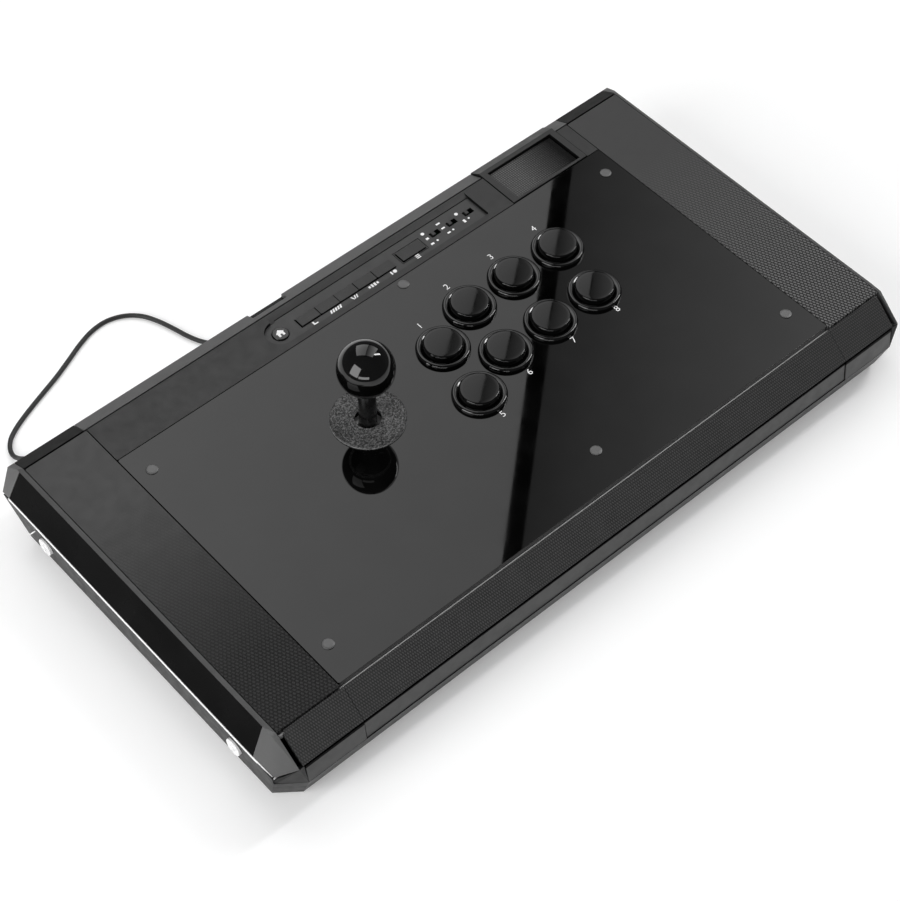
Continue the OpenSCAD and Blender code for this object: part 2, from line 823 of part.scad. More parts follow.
module restrictor_gate() {
    gate = shaft_r + 0.3 + (pivot_z - shaft_foot_z) * tan(stick_tilt);
    color("#1a1a1a") at_stick() {
        difference() {
            slab(body_foot_z - 3, body_foot_z) rounded([-body_w / 2, -body_d / 2],
                [body_w / 2, body_d / 2], 3);
            slab(body_foot_z - 4, 0) rounded([-gate, -gate], [gate, gate], 1);
        }
    }
}

// Boards
board_z = -12;
main_board_z = -47;

module function_board() {
    color("#2b5d3a") deck() {
        block([home_x - 6, 87, board_z], [recess_end_x - 2, 112, board_z + 1.6]);
        rod(home_x, home_y, board_z + 1.5, board_z + 2, 2);
        for (i = [0:key_count - 1]) translate([key_first_x + (i + 0.5) * key_pitch, 98, 0])
            block([-3, -3, board_z + 1.5], [3, 3, board_z + 2]);
        for (x = slider_x) block([x - 4.5, slider_y - 3, board_z + 1.5],
            [x + 4.5, slider_y + 3, board_z + 4]);
    }
}

module main_board() {
    color("#2b5d3a") deck() {
        block([130, -60, main_board_z], [215, 10, main_board_z + 1.6]);
        for (x = [134, 211], y = [-56, 6]) rod(x, y, -case_h + floor_t, main_board_z + tiny, 2.5);
        block([150, -45, main_board_z + 1.5], [164, -31, main_board_z + 3.2]);
        block([176, -20, main_board_z + 1.5], [186, -10, main_board_z + 3]);
        for (i = [0:5]) block([136 + 12 * i, 2, main_board_z + 1.5],
            [145 + 12 * i, 8, main_board_z + 8]);
    }
}

// Keys
module function_key(i) {
    x0 = key_first_x + i * key_pitch;
    color("#404040") deck() {
        slab(-7.5, recess_z + 0.9) rounded([x0 + 0.15, key_y0], [x0 + key_pitch - 0.15, key_y1], 0.6);
        rod(x0 + key_pitch / 2, 98, -9.2, -7.4, 2);
    }
}

module function_key_1() { function_key(0); }
module function_key_2() { function_key(1); }
module function_key_3() { function_key(2); }
module function_key_4() { function_key(3); }
module function_key_5() { function_key(4); }

module home_button() {
    color("#1a1a1a") deck() {
        rod(home_x, home_y, -7.5, recess_z + 0.9, 5);
        rod(home_x, home_y, -9.2, -7.4, 2);
    }
}

module options_button() {
    color("#404040") deck() {
        slab(-7.5, recess_z + 0.9) rounded([option_x0, key_y0], [option_x1, key_y1 + 0.8], 0.6);
        rod((option_x0 + option_x1) / 2, 98, -9.2, -7.4, 2);
    }
}

module slide_switch(i) {
    color("#222222") deck() translate([slider_x[i], slider_y, 0]) {
        block([-2.6, -1.4, -7.8], [-0.2, 1.4, recess_z + 1]);
    }
}

module slide_switch_1() { slide_switch(0); }
module slide_switch_2() { slide_switch(1); }
module slide_switch_3() { slide_switch(2); }

// Lead
module cable_gland() {
    color("#141414") deck() translate([gland_x, 0, gland_z]) rotate([-90, 0, 0])
        rotate_extrude() polygon([[0, 108], [5.8, 108], [5.8, 110], [4.1, 110], [4.1, 121.5],
            [5.4, 121.5], [5.4, 123.5], [3.7, 124.5], [2.2, 142], [0, 142]]);
}

module usb_cord() {
    color("#1a1a1a") deck() {
        swept(lead_route, lead_r);
        swept(tail_route, lead_r);
    }
}

module usb_hank() {
    r = hank_turn_r + lead_r;
    color("#1a1a1a") deck() slab(ground_z, ground_z + hank_layers * lead_d) difference() {
        for (s = [-1, 1]) union() {
            translate([hank_x + s * hank_run / 4, hank_y]) square([hank_run / 2, 2 * r], center = true);
            translate([hank_x + s * hank_run / 2, hank_y]) circle(r = r);
        }
    }
}

module usb_plug() {
    color("#202020") deck() translate([plug_x, plug_y, plug_z]) {
        rotate([0, 90, 0]) rotate_extrude() polygon([[0, 0], [2.1, 0], [3.6, 12], [0, 12]]);
        along_x(12, 38) rounded([-7.5, -4], [7.5, 4], 2.5);
        difference() {
            along_x(38 - tiny, 57) rounded([-6, -2.25], [6, 2.25], 0.6);
            block([39, -5.6, -1.85], [58, 5.6, 1.85]);
        }
        block([38, -5.5, 0], [55, 5.5, 1.8]);
    }
}

base_shell();
bottom_plate();
bottom_screws();
rubber_feet();
left_cheek();
right_cheek();
left_side_panel();
right_side_panel();
light_strips();
side_screws();
corner_caps();
wrist_rest();
front_band();
top_deck();
grip_strips();
rear_band();
rear_rail();
control_plate();
acrylic_cover();
panel_screws();
touchpad_housing();
function_panel();
button_housings();
microswitches();
stick_mount_plate();
stick_body();
stick_board();
restrictor_gate();
dust_washer();
main_board();
function_board();
cable_gland();
usb_cord();
usb_hank();
usb_plug();
play_button_1();
play_button_2();
play_button_3();
play_button_4();
play_button_5();
play_button_6();
play_button_7();
play_button_8();
home_button();
function_key_1();
function_key_2();
function_key_3();
function_key_4();
function_key_5();
options_button();
slide_switch_1();
slide_switch_2();
slide_switch_3();
touchpad();
pivot_ring();
stick_shaft();
shaft_sleeve();
stick_actuator();
return_spring();
ball_top();
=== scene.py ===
"""Arcade joystick panel: rounded shells, turned parts, printed marks, finishes and the lead,
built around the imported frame. Deck coordinates are millimetres from the middle of the top
face; at() turns them into metres in the frame."""
import json
import math

import bmesh
import bpy
from mathutils import Matrix, Vector


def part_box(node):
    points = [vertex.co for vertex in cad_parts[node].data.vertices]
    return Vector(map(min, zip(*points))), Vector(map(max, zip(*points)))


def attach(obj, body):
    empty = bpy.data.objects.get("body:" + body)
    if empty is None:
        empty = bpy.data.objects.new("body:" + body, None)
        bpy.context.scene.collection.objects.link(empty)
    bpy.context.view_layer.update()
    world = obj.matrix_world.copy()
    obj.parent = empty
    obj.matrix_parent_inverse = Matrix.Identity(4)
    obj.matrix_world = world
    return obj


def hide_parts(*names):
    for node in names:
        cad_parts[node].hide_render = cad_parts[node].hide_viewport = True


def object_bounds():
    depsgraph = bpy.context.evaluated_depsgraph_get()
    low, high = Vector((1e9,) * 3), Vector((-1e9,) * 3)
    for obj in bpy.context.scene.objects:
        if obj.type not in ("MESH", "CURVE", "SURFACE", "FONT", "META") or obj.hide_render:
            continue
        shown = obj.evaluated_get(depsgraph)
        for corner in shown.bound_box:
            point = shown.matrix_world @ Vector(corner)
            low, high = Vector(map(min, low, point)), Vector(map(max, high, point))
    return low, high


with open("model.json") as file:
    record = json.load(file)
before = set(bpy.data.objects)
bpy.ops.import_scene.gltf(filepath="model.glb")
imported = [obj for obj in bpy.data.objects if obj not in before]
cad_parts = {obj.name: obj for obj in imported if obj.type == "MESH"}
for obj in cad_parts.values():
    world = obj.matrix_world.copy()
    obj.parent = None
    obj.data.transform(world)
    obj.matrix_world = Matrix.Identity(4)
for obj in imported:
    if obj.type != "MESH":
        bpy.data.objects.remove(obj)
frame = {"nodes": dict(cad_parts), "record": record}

cad_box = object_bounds()
MM = 0.001
scene = bpy.context.scene
record = frame["record"]
BODY_OF = {n: b for b, members in record["behaviour"]["bodies"].items() for n in members}
SLOT_OF = {s["node"]: s["material_slot"] for s in record["subparts"]}

# The middle of the top face, which the grip strips run the whole depth of
grip_low, grip_high = (Vector(c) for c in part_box("grip_strips"))
DECK = Vector((0, (grip_low.y + grip_high.y) / 2, grip_high.z))


def at(x, y, z=0.0):
    """A point in deck coordinates, in metres in the frame."""
    return DECK + Vector((x, y, z)) * MM


def middle(node):
    """The middle of a node's box, in deck coordinates."""
    low, high = (Vector(c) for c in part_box(node))
    return ((low + high) / 2 - DECK) / MM


# ---------------------------------------------------------------- camera
LENS = 89.33
CAMERA_X, CAMERA_Y, CAMERA_Z = -555.7, -618.9, 1008.3
AIM_X, AIM_Y = -41.9, -34.6
camera = bpy.data.objects.new("camera", bpy.data.cameras.new("camera"))
camera.data.lens = LENS
camera.location = at(CAMERA_X, CAMERA_Y, CAMERA_Z)
aim = at(AIM_X, AIM_Y) - camera.location
camera.rotation_euler = aim.to_track_quat("-Z", "Y").to_euler()
scene.collection.objects.link(camera)
scene.camera = camera
scene.view_settings.view_transform = "Standard"


# ---------------------------------------------------------------- lead
LEAD_D = 3.0
GROUND = -DECK.z / MM
FLAT = GROUND + LEAD_D / 2
LEAD_ROUTE = [(-211, 142, -40), (-211.4, 148, -41.5), (-212.4, 154, -45.6), (-213.3, 160, -50.4),
    (-213.6, 166, -53.6), (-212, 172, FLAT), (-207.5, 178, FLAT), (-200, 183, FLAT),
    (-191, 187.3, FLAT), (-181, 191.4, FLAT), (-170, 195.6, FLAT), (-158, 200.2, FLAT),
    (-145, 206, FLAT), (-132, 212, FLAT), (-120, 216, FLAT), (-108, 216.6, FLAT),
    (-97, 212.5, FLAT), (-89, 205, FLAT), (-84, 195, FLAT), (-80.5, 184, FLAT),
    (-77.5, 173, FLAT), (-73.5, 163.5, FLAT), (-67, 155.5, FLAT), (-58, 150.6, FLAT)]
TAIL_ROUTE = [(0, 152.4, -54), (12, 152.2, FLAT), (24, 150.4, FLAT), (35, 145.6, FLAT),
    (44, 138.5, FLAT), (52, 131.5, FLAT), (60, 127, -53.4), (68, 125.3, -52)]
HANK_X, HANK_Y, HANK_RUN = -15.0, 134.0, 60.0
HANK_RADII = (15.0, 12.0, 9.0)
HANK_LAYERS = 4
RUN_STEPS = 6
TURN_STEPS = 8


def hank_turns():
    """Each turn's radius and layer, winding in and out across the layers."""
    turns = []
    for layer in range(HANK_LAYERS):
        radii = HANK_RADII if layer % 2 == 0 else HANK_RADII[::-1]
        turns += [(r, layer) for r in radii]
    return turns


def hank_points():
    """The turns of the hank: a straight run that shifts to the next place, then round."""
    points = []
    left, right = HANK_X - HANK_RUN / 2, HANK_X + HANK_RUN / 2
    radius, z = HANK_RADII[0], FLAT
    for new_radius, layer in hank_turns():
        new_z = FLAT + layer * LEAD_D
        for i in range(RUN_STEPS):
            t = i / RUN_STEPS
            ease = t * t * (3 - 2 * t)
            points.append((left + t * HANK_RUN, HANK_Y + radius + (new_radius - radius) * ease,
                z + (new_z - z) * ease))
        radius, z = new_radius, new_z
        for end, start in ((right, 90), (left, -90)):
            for i in range(TURN_STEPS + 1):
                a = math.radians(start - i * 180 / TURN_STEPS)
                points.append((end + radius * math.cos(a), HANK_Y + radius * math.sin(a), z))
            if end == right:
                points += [(right - t * HANK_RUN, HANK_Y - radius, z) for t in (0.25, 0.5, 0.75)]
    # the last length comes down along the outside of the bundle
    points += [(left + 8, HANK_Y + radius + 0.6, z - 0.6), (-30, 151, -48.5), (-15, 152, -51.5)]
    return points


def smooth_line(points, steps=4):
    """Catmull-Rom line through the points."""
    p = [Vector(q) for q in points]
    p = [p[0] * 2 - p[1]] + p + [p[-1] * 2 - p[-2]]
    line = []
    for i in range(1, len(p) - 2):
        for k in range(steps):
            t = k / steps
            line.append(0.5 * (2 * p[i] + (p[i + 1] - p[i - 1]) * t
                + (2 * p[i - 1] - 5 * p[i] + 4 * p[i + 1] - p[i + 2]) * t ** 2
                + (3 * p[i] - p[i - 1] - 3 * p[i + 1] + p[i + 2]) * t ** 3))
    return line + [p[-2]]


def make_lead():
    line = smooth_line(LEAD_ROUTE) + smooth_line(hank_points())[1:] + smooth_line(TAIL_ROUTE)[1:]
    data = bpy.data.curves.new("lead", "CURVE")
    data.dimensions = "3D"
    data.bevel_depth = LEAD_D / 2 * MM
    data.bevel_resolution = 3
    data.use_fill_caps = True
    spline = data.splines.new("POLY")
    spline.points.add(len(line) - 1)
    for point, q in zip(spline.points, line):
        point.co = (*at(*q), 1)
    spline.use_smooth = True
    lead = bpy.data.objects.new("lead", data)
    scene.collection.objects.link(lead)
    return lead


lead = make_lead()


# ---------------------------------------------------------------- materials
class Finish:
    """A procedural material built up from a Principled shader. Lengths are in millimetres."""

    def __init__(self, name, color, roughness, metallic=0.0, specular=0.5):
        self.material = bpy.data.materials.new(name)
        self.material.use_nodes = True
        self.nodes = self.material.node_tree.nodes
        self.links = self.material.node_tree.links
        self.shader = self.nodes["Principled BSDF"]
        self.shader.inputs["Roughness"].default_value = roughness
        self.shader.inputs["Metallic"].default_value = metallic
        self.shader.inputs["Specular IOR Level"].default_value = specular
        self.color = self.rgb(color)
        self.shader.inputs["Base Color"].default_value = self.color
        self.place = self.nodes.new("ShaderNodeTexCoord").outputs["Object"]
        self.height = None

    @staticmethod
    def rgb(color):
        color = (color,) * 3 if isinstance(color, (int, float)) else color
        return (*color, 1)

    def node(self, kind, *values, **settings):
        """A node with its inputs set or linked in order; its first output comes back."""
        node = self.nodes.new(kind)
        for key, value in settings.items():
            setattr(node, key, value)
        for socket, value in zip(node.inputs, values):
            if isinstance(value, bpy.types.NodeSocket):
                self.links.new(value, socket)
            elif value is not None:
                socket.default_value = value
        return node.outputs[0]

    def math(self, operation, *values):
        return self.node("ShaderNodeMath", *values, operation=operation)

    def axis(self, vector, letter):
        """One coordinate of a vector."""
        return self.node("ShaderNodeSeparateXYZ", vector).node.outputs[letter]

    def noise(self, size, detail=2.0, stretch=(1, 1, 1)):
        """Noise from 0 to 1 whose blotches are about size across."""
        place = self.node("ShaderNodeMapping", self.place, None, None,
            tuple(1 / (size * MM * s) for s in stretch))
        return self.node("ShaderNodeTexNoise", place, None, 1.0, detail)

    def ramp(self, value, low, high, out_low=0.0, out_high=1.0):
        return self.node("ShaderNodeMapRange", value, low, high, out_low, out_high)

    def tint(self, mask, color):
        """Blends the colour so far towards another one by a mask."""
        mix = self.nodes.new("ShaderNodeMix")
        mix.data_type = "RGBA"
        self.links.new(mask, mix.inputs["Factor"])
        socket = self.shader.inputs["Base Color"]
        if socket.is_linked:
            self.links.new(socket.links[0].from_socket, mix.inputs[6])
        else:
            mix.inputs[6].default_value = self.color
        mix.inputs[7].default_value = self.rgb(color)
        self.links.new(mix.outputs[2], socket)
        return self

    def mottle(self, size, amount):
        """Uneven colour: patches of the same colour made lighter."""
        lighter = tuple(min(1, c * (1 + amount) + 0.002) for c in self.color[:3])
        return self.tint(self.ramp(self.noise(size), 0.35, 0.7), lighter)

    def rough(self, size, low, high):
        """Roughness that varies from low to high."""
        self.links.new(self.ramp(self.noise(size), 0.3, 0.7, low, high),
            self.shader.inputs["Roughness"])
        return self

    def bump(self, height, distance):
        """Relief of the given height in millimetres."""
        node = self.nodes.new("ShaderNodeBump")
        node.inputs["Strength"].default_value = 1.0
        node.inputs["Distance"].default_value = distance * MM
        self.links.new(height, node.inputs["Height"])
        if self.height is not None:
            self.links.new(self.height, node.inputs["Normal"])
        self.height = node.outputs["Normal"]
        self.links.new(self.height, self.shader.inputs["Normal"])
        return self

    def grain(self, size, distance):
        return self.bump(self.noise(size, 3.0), distance)

    def walls(self, color):
        """Tints the upright faces, such as the sides of a recess: painted shade where the colour is
        darker, painted highlight where it is lighter.
        """
        normal = self.nodes.new("ShaderNodeNewGeometry").outputs["Normal"]
        upright = self.math("ABSOLUTE", self.axis(normal, "Z"))
        return self.tint(self.ramp(upright, 0.6, 0.3), color)

    def cells(self, pitch_u, pitch_v, angle, stagger=0.5):
        """Rows of cells turned by an angle: returns the distances from a cell's middle along
        u and v, each from -0.5 to 0.5. Each column is shifted by stagger cells more."""
        turned = self.node("ShaderNodeMapping", self.place, None, (0, 0, math.radians(-angle)))
        u = self.math("DIVIDE", self.axis(turned, "X"), pitch_u * MM)
        column = self.math("FLOOR", u)
        v = self.math("DIVIDE", self.axis(turned, "Y"), pitch_v * MM)
        v = self.math("ADD", v, self.math("MULTIPLY", column, stagger))
        return tuple(self.math("SUBTRACT", self.math("FRACT", w), 0.5) for w in (u, v))

    def spots(self, cells, edges_u, edges_v):
        """One spot in each cell: each pair of edges is where it starts and is full."""
        fades = [self.ramp(self.math("ABSOLUTE", w), *edges)
            for w, edges in zip(cells, (edges_u, edges_v))]
        return self.math("MULTIPLY", *fades)

    def glint(self, mask, outside, inside):
        """Strength of the reflections outside and inside a mask."""
        self.links.new(self.ramp(mask, 0, 1, outside, inside),
            self.shader.inputs["Specular IOR Level"])


def plastic(name, color, roughness, grain_mm=0.5, relief=0.02, specular=0.5):
    """Moulded plastic with a fine satin texture."""
    finish = Finish(name, color, roughness, specular=specular)
    finish.mottle(18, 0.12).rough(6, roughness - 0.05, roughness + 0.06)
    return finish.grain(grain_mm, relief)


def gloss(name, color, roughness, specular=0.5):
    """Polished plastic with faint wipe marks."""
    finish = Finish(name, color, roughness, specular=specular)
    finish.mottle(30, 0.15).rough(14, roughness * 0.7, roughness * 1.5)
    return finish


def grips():
    """Smooth plastic at the rear that breaks up into slanted moulded dashes at the front, with
    painted shade darkening the front and painted highlights on the dashes, stronger towards the
    right.
    """
    finish = Finish("grip_plastic", 0.025, 0.42, specular=0.42)
    dash = finish.spots(finish.cells(1.9, 2.5, 21), (0.4, 0.2), (0.46, 0.3))
    front_dashes_and_shade = finish.ramp(finish.axis(finish.place, "Y"), at(0, 60).y, at(0, -70).y)
    dash = finish.math("MULTIPLY", dash, front_dashes_and_shade)
    # painted shade: the front of the strips darker, with weaker reflections
    finish.tint(front_dashes_and_shade, 0.005)
    finish.glint(front_dashes_and_shade, 0.42, 0.2)
    # painted highlight: the dashes lighter, more so towards the right
    dash_highlight = finish.ramp(finish.axis(finish.place, "X"), at(-150, 0).x, at(150, 0).x, 0.1, 0.8)
    finish.tint(finish.math("MULTIPLY", dash, dash_highlight), 0.17)
    finish.rough(8, 0.38, 0.48)
    finish.bump(dash, 0.22)
    return finish.grain(0.5, 0.012)


def palm():
    """Palm rest: fine woven dimples in a satin plastic."""
    finish = plastic("palm_rest", 0.014, 0.5)
    dimple = finish.spots(finish.cells(1.3, 1.6, 30), (0.4, 0.1), (0.45, 0.15))
    finish.tint(dimple, 0.06)
    return finish.bump(dimple, 0.08)


def deck():
    """Structural deck: nearly black, with a painted highlight making the lip in front of the gloss
    panel paler.
    """
    finish = plastic("deck_plastic", 0.008, 0.5, specular=0.15)
    lip_highlight = finish.ramp(finish.axis(finish.place, "Y"), at(0, -112.6).y, at(0, -112.8).y)
    # painted highlight: the lip in front of the gloss panel pale grey
    return finish.tint(lip_highlight, 0.5)


def band():
    """Front band: satin plastic with painted shade, black along its top edge where the gap under
    the palm rest is in shadow.
    """
    finish = plastic("band_plastic", 0.014, 0.38, 0.5, 0.012)
    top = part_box("front_band")[1][2]
    gap = finish.ramp(finish.axis(finish.place, "Z"), top - 2.2 * MM, top - 1.8 * MM)
    # painted shade: black, with almost no reflection, in the shadow of the gap
    finish.tint(gap, 0.0005)
    finish.glint(gap, 0.5, 0.02)
    return finish


def touch_dots():
    """Touchpad: a square grid of fine raised dots, with painted shade making it darker towards the
    right.
    """
    finish = plastic("touchpad_surface", 0.02, 0.22, specular=0.35)
    grain = finish.spots(finish.cells(1.5, 1.5, 0, stagger=0), (0.34, 0.18), (0.34, 0.18))
    finish.tint(grain, 0.09)
    shade = finish.ramp(finish.axis(finish.place, "X"), at(138, 0).x, at(170, 0).x)
    # painted shade: darker, with weaker reflections, towards the right
    finish.tint(shade, 0.001)
    finish.glint(shade, 0.35, 0.08)
    return finish.bump(grain, 0.05)


def wrinkled():
    """Dust washer: coarse wrinkled grain, like vinyl."""
    finish = Finish("washer_vinyl", 0.012, 0.35)
    finish.tint(finish.ramp(finish.noise(0.9, 2.0), 0.45, 0.6), 0.12)
    finish.bump(finish.noise(1.4, 2.0), 1.6)
    # painted highlight: the upright edges lighter than the top
    finish.walls(0.25)
    return finish


def brushed(name, color, roughness):
    """Plated steel with fine lines along X."""
    finish = Finish(name, color, roughness, metallic=1.0)
    finish.mottle(12, 0.1)
    return finish.bump(finish.noise(0.3, 2.0, (20, 1, 1)), 0.006)


def board():
    """Circuit board: green mask over faint tracks."""
    finish = Finish("circuit_board", (0.012, 0.085, 0.035), 0.35)
    across, _ = finish.cells(2.54, 9, 0)
    track = finish.ramp(finish.math("ABSOLUTE", across), 0.2, 0.12)
    finish.tint(track, (0.03, 0.15, 0.06))
    return finish.bump(track, 0.03)


FINISHES = {
    "shell_plastic": lambda: plastic("shell_plastic", 0.008, 0.42, specular=0.2),
    "bottom_sheet": lambda: plastic("bottom_sheet", 0.02, 0.5, 0.8, 0.04),
    "screw_steel": lambda: brushed("screw_steel", 0.13, 0.5),
    "foot_rubber": lambda: plastic("foot_rubber", 0.015, 0.75, 0.7, 0.04),
    "cheek_plastic": lambda: plastic("cheek_plastic", 0.06, 0.38, 0.4, 0.012),
    "side_gloss": lambda: gloss("side_gloss", 0.001, 0.2, 0.02),
    "light_strip": lambda: plastic("light_strip", 0.9, 0.3, 0.8, 0.01),
    "side_screw": lambda: plastic("side_screw", 0.8, 0.35, 0.6, 0.02),
    "palm_rest": palm,
    "band_plastic": band,
    "deck_plastic": deck,
    "grip_plastic": grips,
    # painted shade darkens the upright walls of the recess in the rear band
    "rear_band": lambda: plastic("rear_band", 0.013, 0.5, specular=0.45).walls(0.001),
    "rail_plastic": lambda: plastic("rail_plastic", 0.07, 0.38, 0.4, 0.015),
    "control_plate": lambda: plastic("control_plate", 0.1, 0.4, 0.6, 0.02),
    "acrylic": lambda: gloss("acrylic", 0.0006, 0.02),
    # painted shade darkens the upright walls of the housing's recess
    "housing_plastic": lambda: plastic("housing_plastic", 0.01, 0.42, specular=0.4).walls(0.002),
    # painted shade darkens the upright walls of the recess
    "recess_plastic": lambda: plastic("recess_plastic", 0.03, 0.45, specular=0.4).walls(0.001),
    "button_rim": lambda: gloss("button_rim", 0.001, 0.06),
    "button_top": lambda: gloss("button_top", 0.001, 0.08, 0.3),
    "switch_body": lambda: plastic("switch_body", 0.02, 0.5),
    "plated_steel": lambda: brushed("plated_steel", 0.55, 0.35),
    "nylon_dark": lambda: plastic("nylon_dark", 0.02, 0.5),
    "circuit_board": board,
    "washer_vinyl": wrinkled,
    "lead_jacket": lambda: plastic("lead_jacket", 0.012, 0.5, 0.5, 0.02),
    "plug_body": lambda: plastic("plug_body", 0.014, 0.45, 0.6, 0.03),
    "home_button": lambda: gloss("home_button", 0.008, 0.15),
    # painted shade darkens the keys' upright sides
    "key_plastic": lambda: plastic("key_plastic", 0.008, 0.3, 0.5, 0.01, 0.4).walls(0.0005),
    "slider_knob": lambda: plastic("slider_knob", 0.012, 0.4),
    "touchpad_surface": touch_dots,
    "nylon_light": lambda: plastic("nylon_light", 0.6, 0.45),
    "shaft_steel": lambda: brushed("shaft_steel", 0.6, 0.18),
    "sleeve_plastic": lambda: plastic("sleeve_plastic", 0.004, 0.28, 0.8, 0.01),
    "spring_steel": lambda: brushed("spring_steel", 0.45, 0.3),
    "ball_plastic": lambda: gloss("ball_plastic", 0.001, 0.04),
}
MATERIALS = {slot: build().material for slot, build in FINISHES.items()}
PRINT = plastic("white_print", 0.8, 0.5, 0.4, 0.01).material
PLUG_METAL = brushed("plug_metal", 0.6, 0.3).material


# ---------------------------------------------------------------- piece helpers
PRINT_T = 0.03


def add_piece(name, mesh, node, material=None):
    """A piece that rides with a node and takes its finish."""
    piece = bpy.data.objects.new(name, mesh)
    scene.collection.objects.link(piece)
    mesh.materials.clear()
    mesh.materials.append(material or MATERIALS[SLOT_OF[node]])
    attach(piece, BODY_OF[node])
    return piece


def smooth_shading(piece, angle):
    piece.data.shade_smooth()
    piece.data.set_sharp_from_angle(angle=math.radians(angle))


def outward_mesh(name, bm):
    """The mesh of a bmesh, with every face turned outwards."""
    bmesh.ops.recalc_face_normals(bm, faces=bm.faces)
    mesh = bpy.data.meshes.new(name)
    bm.to_mesh(mesh)
    bm.free()
    return mesh


def refine(node, width, segments=2):
    """A node's own shape with its flat faces merged and its sharp edges rounded."""
    mesh = frame["nodes"][node].data.copy()
    mesh.name = node + "_shape"
    bm = bmesh.new()
    bm.from_mesh(mesh)
    bmesh.ops.remove_doubles(bm, verts=bm.verts, dist=2e-6)
    bmesh.ops.dissolve_limit(bm, angle_limit=math.radians(0.4), verts=bm.verts, edges=bm.edges)
    bm.to_mesh(mesh)
    bm.free()
    piece = add_piece(node + "_finish", mesh, node)
    mesh.shade_smooth()
    bevel = piece.modifiers.new("rounded_edges", "BEVEL")
    bevel.width = width * MM
    bevel.segments = segments
    bevel.limit_method = "ANGLE"
    bevel.angle_limit = math.radians(32)
    normals = piece.modifiers.new("even_shading", "WEIGHTED_NORMAL")
    normals.mode = "FACE_AREA"
    normals.weight = 80
    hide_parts(node)
    return piece


def arc(x, z, r, start, end, steps):
    """Points of an arc whose start and end are angles in degrees."""
    angles = [math.radians(start + (end - start) * i / steps) for i in range(steps + 1)]
    return [(x + r * math.cos(a), z + r * math.sin(a)) for a in angles]


def turned_mesh(name, profile, centre, segments=96, close=False):
    """A mesh turned from (radius, z) points about a vertical line through centre."""
    bm = bmesh.new()
    rings = []
    for r, z in profile:
        if r < 1e-6:
            rings.append([bm.verts.new(at(centre[0], centre[1], z))])
            continue
        rings.append([bm.verts.new(at(centre[0] + r * math.cos(2 * math.pi * k / segments),
            centre[1] + r * math.sin(2 * math.pi * k / segments), z)) for k in range(segments)])
    pairs = list(zip(rings, rings[1:])) + ([(rings[-1], rings[0])] if close else [])
    for a, b in pairs:
        for k in range(segments):
            n = (k + 1) % segments
            corners = [a[k % len(a)], b[k % len(b)], b[n % len(b)], a[n % len(a)]]
            corners = [v for i, v in enumerate(corners) if v not in corners[:i]]
            if len(corners) > 2:
                bm.faces.new(corners)
    return outward_mesh(name, bm)


def join_meshes(name, meshes):
    bm = bmesh.new()
    for mesh in meshes:
        bm.from_mesh(mesh)
    joined = bpy.data.meshes.new(name)
    bm.to_mesh(joined)
    bm.free()
    return joined


def sheet_mesh(name, outlines, z):
    """Thin printed shapes: each outline is a list of (x, y) points in deck coordinates."""
    bm = bmesh.new()
    for outline in outlines:
        face = bm.faces.new([bm.verts.new(at(x, y, z)) for x, y in outline])
        lifted = bmesh.ops.extrude_face_region(bm, geom=[face])["geom"]
        for v in lifted:
            if isinstance(v, bmesh.types.BMVert):
                v.co.z += PRINT_T * MM
    return outward_mesh(name, bm)


# ---------------------------------------------------------------- shells and inner parts
EDGE_WIDTHS = {"base_shell": 0.5, "bottom_plate": 0.3, "left_cheek": 0.35, "right_cheek": 0.35,
    "left_side_panel": 0.2, "right_side_panel": 0.2, "light_strips": 0.25, "corner_caps": 0.3,
    "wrist_rest": 0.45, "front_band": 0.35, "top_deck": 0.35, "grip_strips": 0.3, "rear_band": 0.3,
    "rear_rail": 0.3, "control_plate": 0.15, "acrylic_cover": 0.25, "touchpad_housing": 0.25,
    "function_panel": 0.12, "touchpad": 0.2, "home_button": 0.4, "options_button": 0.35,
    "stick_mount_plate": 0.2, "stick_body": 0.4, "stick_board": 0.1, "restrictor_gate": 0.3,
    "microswitches": 0.2, "main_board": 0.12, "function_board": 0.12, "pivot_ring": 0.25,
    "stick_shaft": 0.3, "stick_actuator": 0.3, "side_screws": 0.35}
EDGE_WIDTHS.update({f"function_key_{i}": 0.35 for i in range(1, 6)})
EDGE_WIDTHS.update({f"slide_switch_{i}": 0.2 for i in range(1, 4)})
for node, width in EDGE_WIDTHS.items():
    refine(node, width)
# The spring's wire is round already, so its own mesh only takes a finish
frame["nodes"]["return_spring"].data.materials.clear()
frame["nodes"]["return_spring"].data.materials.append(MATERIALS["spring_steel"])


# ---------------------------------------------------------------- buttons
BUTTONS = [middle(f"play_button_{i}") for i in range(1, 9)]
BORE_R = 12.45
PLUNGER_R = 12.15
SHOULDER_R = 1.4
SKIRT_DEPTH = 19
RIM_PROFILE = ([(BORE_R, -18), (BORE_R, 1.5)] + arc(BORE_R + 0.9, 1.5, 0.9, 180, 100, 5)
    + [(13.9, 2.75), (14.5, 2.86)] + arc(14.9, 1.16, 1.7, 88, 12, 8)
    + [(16.6, 0.6), (16.6, 0.15), (16.45, 0), (14.9, 0), (14.9, -19.7), (14.6, -20), (3.4, -20),
    (3.4, -18)])


def plunger_profile(top_z):
    """A button top: a shallow dome with a rounded shoulder over a skirt and a short stem."""
    skirt = top_z - SKIRT_DEPTH
    flat_r = PLUNGER_R - SHOULDER_R
    dome = [(x, top_z - 0.55 * (x / flat_r) ** 2) for x in (2.5, 5, 7.5, 9.3, 10.3)]
    return ([(0, skirt - 4.9), (3, skirt - 4.9), (3, skirt), (PLUNGER_R - 0.3, skirt),
        (PLUNGER_R, skirt + 0.3)]
        + arc(flat_r, top_z - 0.62 - SHOULDER_R, SHOULDER_R, 0, 84, 8)
        + dome[::-1] + [(0, top_z)])


